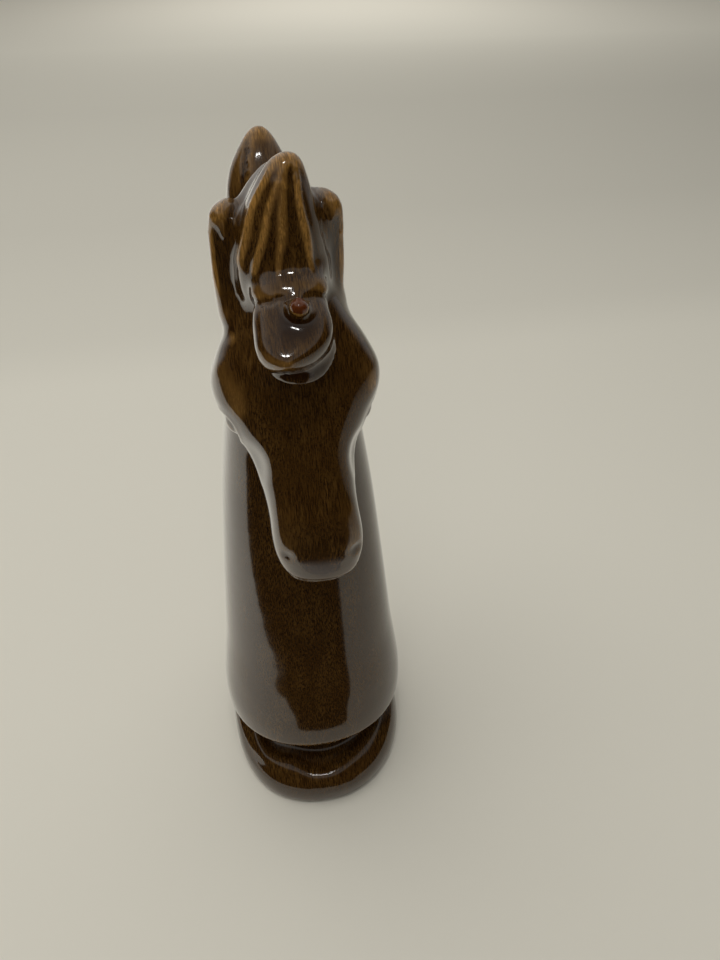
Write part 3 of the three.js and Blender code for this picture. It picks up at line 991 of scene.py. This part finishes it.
def lay_floor(context):
    """Lays the floor, and parts from it what lies in the tent's gap and isn't mirrored in the glaze."""
    bpy.ops.mesh.primitive_plane_add(size=1)
    floor = context.object
    floor.name = "floor"
    floor.scale, floor.location = (7, 5.6, 1), (0, 0.6, 0)
    bpy.ops.object.transform_apply(location=True, scale=True)
    floor.data.materials.append(paper_with_painted_light())
    # Each cut is a point on it and the direction across it.
    front_cut, near_cut = ((-0.072, -0.132), (0.27, 1)), ((0, -0.088), (0, 1))
    right_cut, left_cut = ((0.03, -0.088), (1, 0.82)), ((-0.024, -0.088), (1, -1.09))

    def beyond(cut, place):
        point, across = cut
        return (place[0] - point[0]) * across[0] + (place[1] - point[1]) * across[1]

    bpy.ops.object.mode_set(mode="EDIT")
    for point, across in (front_cut, near_cut, right_cut, left_cut):
        bpy.ops.mesh.select_all(action="SELECT")
        bpy.ops.mesh.bisect(plane_co=(*point, 0), plane_no=(*across, 0))
    bpy.ops.mesh.select_all(action="DESELECT")
    bpy.ops.mesh.select_mode(type="FACE")
    bpy.ops.object.mode_set(mode="OBJECT")
    for face in floor.data.polygons:
        near_gap = beyond(near_cut, face.center) < 0 < beyond(left_cut, face.center)
        in_front = near_gap or beyond(front_cut, face.center) < 0
        face.select = in_front and beyond(right_cut, face.center) < 0
    bpy.ops.object.mode_set(mode="EDIT")
    bpy.ops.mesh.separate(type="SELECTED")
    bpy.ops.object.mode_set(mode="OBJECT")
    for part in context.selected_objects:
        part.visible_glossy = part is floor


def hang_tent(context):
    """A tent of even light around the horse, open at the front, as angles round it and above level."""
    world = bpy.data.worlds.new("Light tent")
    context.scene.world = world
    world.use_nodes = True
    tree = world.node_tree
    nodes, links = tree.nodes, tree.links
    nodes.clear()
    out, sky = nodes.new("ShaderNodeOutputWorld"), nodes.new("ShaderNodeBackground")
    links.new(sky.outputs[0], out.inputs[0])
    sky.inputs["Color"].default_value = (1, 0.985, 0.93, 1)
    work = calculator(tree)

    def between(angle, low, high, edge):
        """1 between two angles in degrees, with soft edges."""
        low, high, edge = math.radians(low), math.radians(high), math.radians(edge)
        return work("MULTIPLY", step_between(tree, angle, low - edge, low + edge),
                    step_between(tree, angle, high + edge, high - edge))

    def dimmed(light, mask, share):
        return work("MULTIPLY", light, work("SUBTRACT", 1.0, work("MULTIPLY", mask, share)))

    where, apart = nodes.new("ShaderNodeTexCoord"), nodes.new("ShaderNodeSeparateXYZ")
    links.new(where.outputs["Generated"], apart.inputs["Vector"])
    x, y, z = apart.outputs
    azimuth = work("ARCTAN2", x, work("MULTIPLY", y, -1.0))
    rising = work("ARCSINE", z)
    # The opening reaches from the left round to the right, below level and up to well above it.
    below = work("MULTIPLY", between(azimuth, -93, 32, 3), between(rising, -67, -12, 4))
    above = work("MULTIPLY", between(azimuth, -128, 108, 12), between(rising, -12, 45, 4))
    # The tent is brighter at the left, dark in its opening and dimmer overhead.
    light = work("ADD", 0.38, work("MULTIPLY", between(azimuth, -200, -60, 30), 0.24))
    light = dimmed(light, work("ADD", below, above), 0.985)
    light = dimmed(light, between(rising, 62, 120, 14), 0.5)
    # The camera sees a plain pale wall beyond the floor.
    ray = nodes.new("ShaderNodeLightPath").outputs["Is Camera Ray"]
    light = work("ADD", work("MULTIPLY", light, work("SUBTRACT", 1.0, ray)), work("MULTIPLY", ray, 0.5))
    links.new(light, sky.inputs["Strength"])


def hang_lamps(context):
    """Two small lamps that show in the glaze, and three wide ones that don't."""
    for name, place, look, width, height, power, mirrored in (
            ("lamp_left", (-0.05, -0.2, 0.9), (0, 0, 0.2), 0.035, 0.03, 0.35, True),
            ("lamp_right", (0.03, -0.2, 0.9), (0, 0, 0.2), 0.035, 0.03, 0.35, True),
            ("roof", (-0.3, 0.3, 1.2), (-0.05, 0.1, 0), 1.4, 1.4, 8.6, False),
            ("far_roof", (0.4, 2.3, 0.8), (0.4, 2.3, 0), 1.0, 0.9, 4.0, False),
            ("fill", (-0.15, -0.7, 0.6), (0, 0, 0.14), 0.5, 0.5, 1.1, False)):
        light = bpy.data.lights.new(name, "AREA")
        light.shape = "RECTANGLE"
        light.size, light.size_y, light.energy, light.color = width, height, power, (1, 0.985, 0.95)
        lamp = bpy.data.objects.new(name, light)
        context.scene.collection.objects.link(lamp)
        lamp.location = place
        lamp.rotation_euler = (Vector(look) - Vector(place)).to_track_quat("-Z", "Y").to_euler()
        lamp.visible_glossy = mirrored


def place_camera(context):
    """Sets the camera where the photo was taken from, by its turn round the horse and its tilt."""
    turn, tilt = math.radians(11), math.radians(40)
    right = Vector((math.cos(turn), -math.sin(turn), 0))
    level = Vector((math.sin(turn), math.cos(turn), 0))
    ahead = level * math.cos(tilt) - Vector((0, 0, math.sin(tilt)))
    lens = bpy.data.cameras.new("camera")
    lens.sensor_fit = "AUTO"
    lens.sensor_width = 36
    lens.lens = FOCAL_LENGTH * lens.sensor_width
    lens.clip_start = 0.01
    camera = bpy.data.objects.new("camera", lens)
    context.scene.collection.objects.link(camera)
    camera.location = right * 0.0219 - level * 0.1944 + Vector((0, 0, 0.2934))
    camera.rotation_euler = ahead.to_track_quat("-Z", "Y").to_euler()
    context.scene.camera = camera


class HORSE_OT_studio(bpy.types.Operator):
    """Sets the pale floor, the soft light of a tent, the lamps and the camera"""
    bl_idname = "horse.studio"
    bl_label = "Studio"

    def execute(self, context):
        pick_nothing()
        lay_floor(context)
        hang_tent(context)
        hang_lamps(context)
        place_camera(context)
        context.scene.view_settings.view_transform = "Standard"
        return {"FINISHED"}


STEPS = (HORSE_OT_foot_and_neck, HORSE_OT_head, HORSE_OT_ears, HORSE_OT_forelock, HORSE_OT_mane,
         HORSE_OT_cast, HORSE_OT_carve, HORSE_OT_glaze, HORSE_OT_studio)


class HORSE_PT_panel(bpy.types.Panel):
    """Lists the horse head's sizes, colours and steps"""
    bl_label = "Ceramic Horse Head"
    bl_idname = "HORSE_PT_panel"
    bl_space_type = "VIEW_3D"
    bl_region_type = "UI"
    bl_category = "Horse"

    def draw(self, context):
        for group in (context.scene.horse_sizes, context.scene.glaze_colours):
            for name in group.__annotations__:
                self.layout.prop(group, name)
        for step in STEPS:
            self.layout.operator(step.bl_idname)


CLASSES = (HorseSizes, GlazeColours, *STEPS, HORSE_PT_panel)


def register():
    for item in CLASSES:
        bpy.utils.register_class(item)
    bpy.types.Scene.horse_sizes = bpy.props.PointerProperty(type=HorseSizes)
    bpy.types.Scene.glaze_colours = bpy.props.PointerProperty(type=GlazeColours)


def unregister():
    del bpy.types.Scene.glaze_colours
    del bpy.types.Scene.horse_sizes
    for item in reversed(CLASSES):
        bpy.utils.unregister_class(item)


def main():
    register()
    bpy.ops.horse.foot_and_neck()
    bpy.ops.horse.head()
    bpy.ops.horse.ears()
    bpy.ops.horse.forelock()
    bpy.ops.horse.mane()
    bpy.ops.horse.cast()
    bpy.ops.horse.carve()
    bpy.ops.horse.glaze()
    bpy.ops.horse.studio()


if __name__ == "__main__":
    main()
